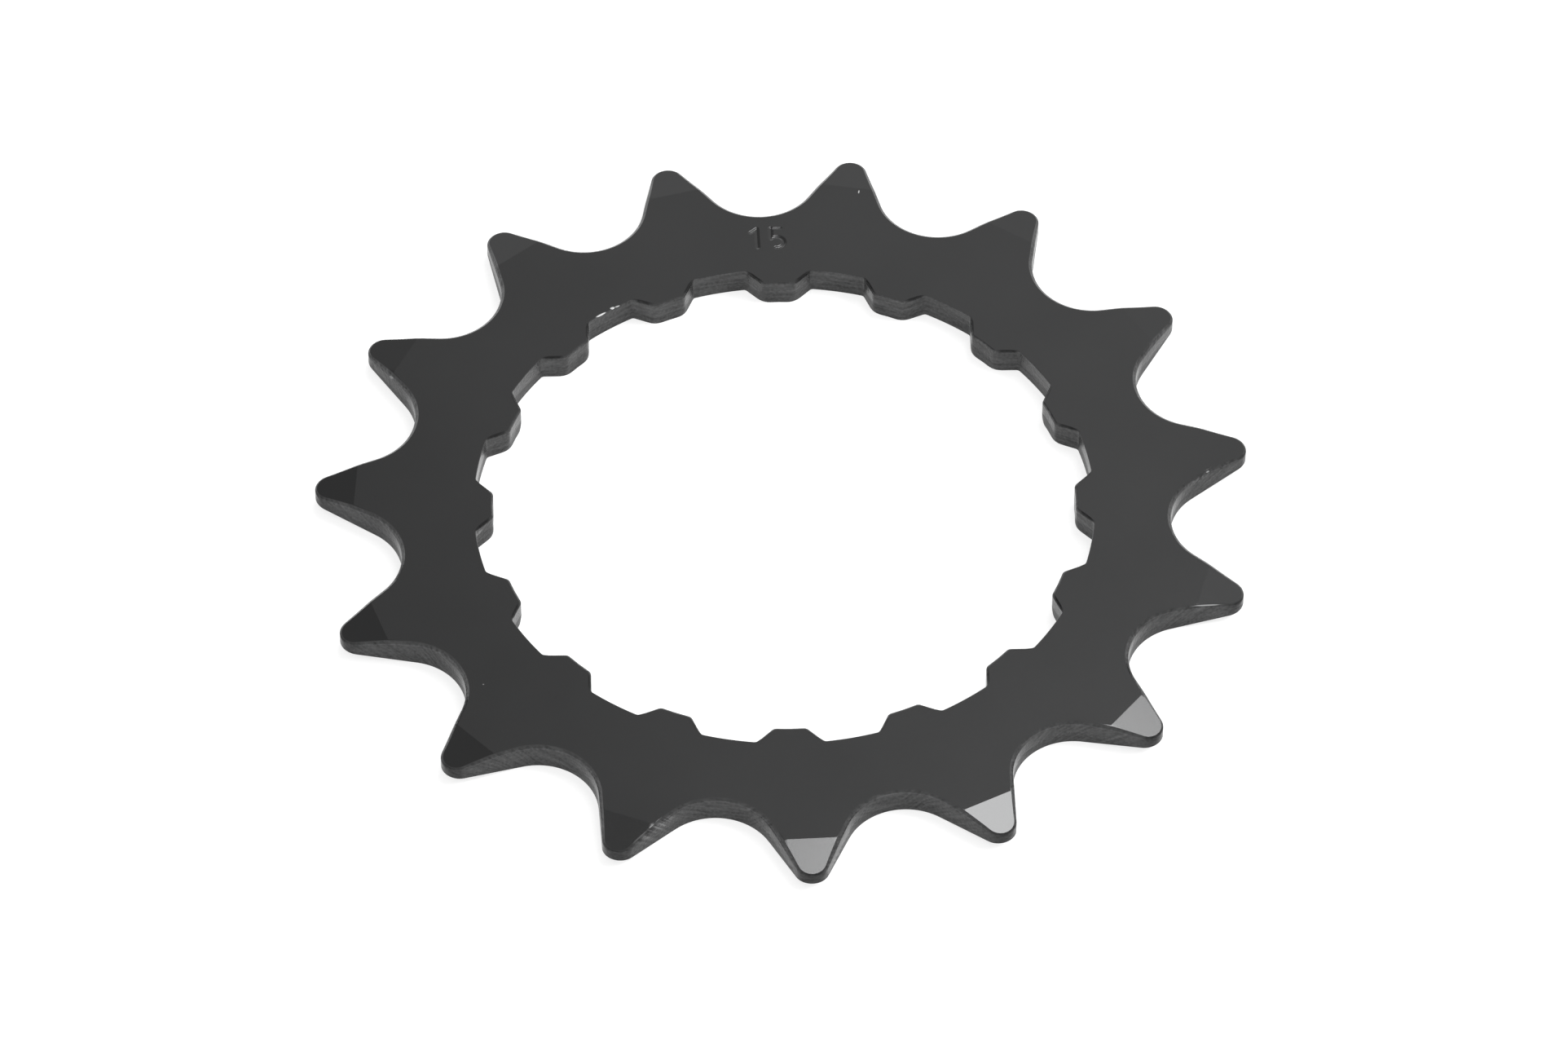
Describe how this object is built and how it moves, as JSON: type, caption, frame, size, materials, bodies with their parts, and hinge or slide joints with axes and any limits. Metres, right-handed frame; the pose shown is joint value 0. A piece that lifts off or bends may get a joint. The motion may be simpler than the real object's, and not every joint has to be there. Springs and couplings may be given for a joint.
{
  "type": "motor sprocket",
  "caption": "Flat ring sprocket for an e-bike motor, with faceted chain teeth outside and a coarse splined bore.",
  "frame": {"origin": "centre of the splined bore, on the rear face", "axes": "+Z along the bore axis, out of the front face; one tooth, with a groove of the spline below it, points along +Y"},
  "size_m": [0.064, 0.0636, 0.002],
  "materials": {
    "dark_steel": "satin, blackened"
  },
  "bodies": {
    "root": {"sprocket": "dark_steel"}
  },
  "joints": []
}
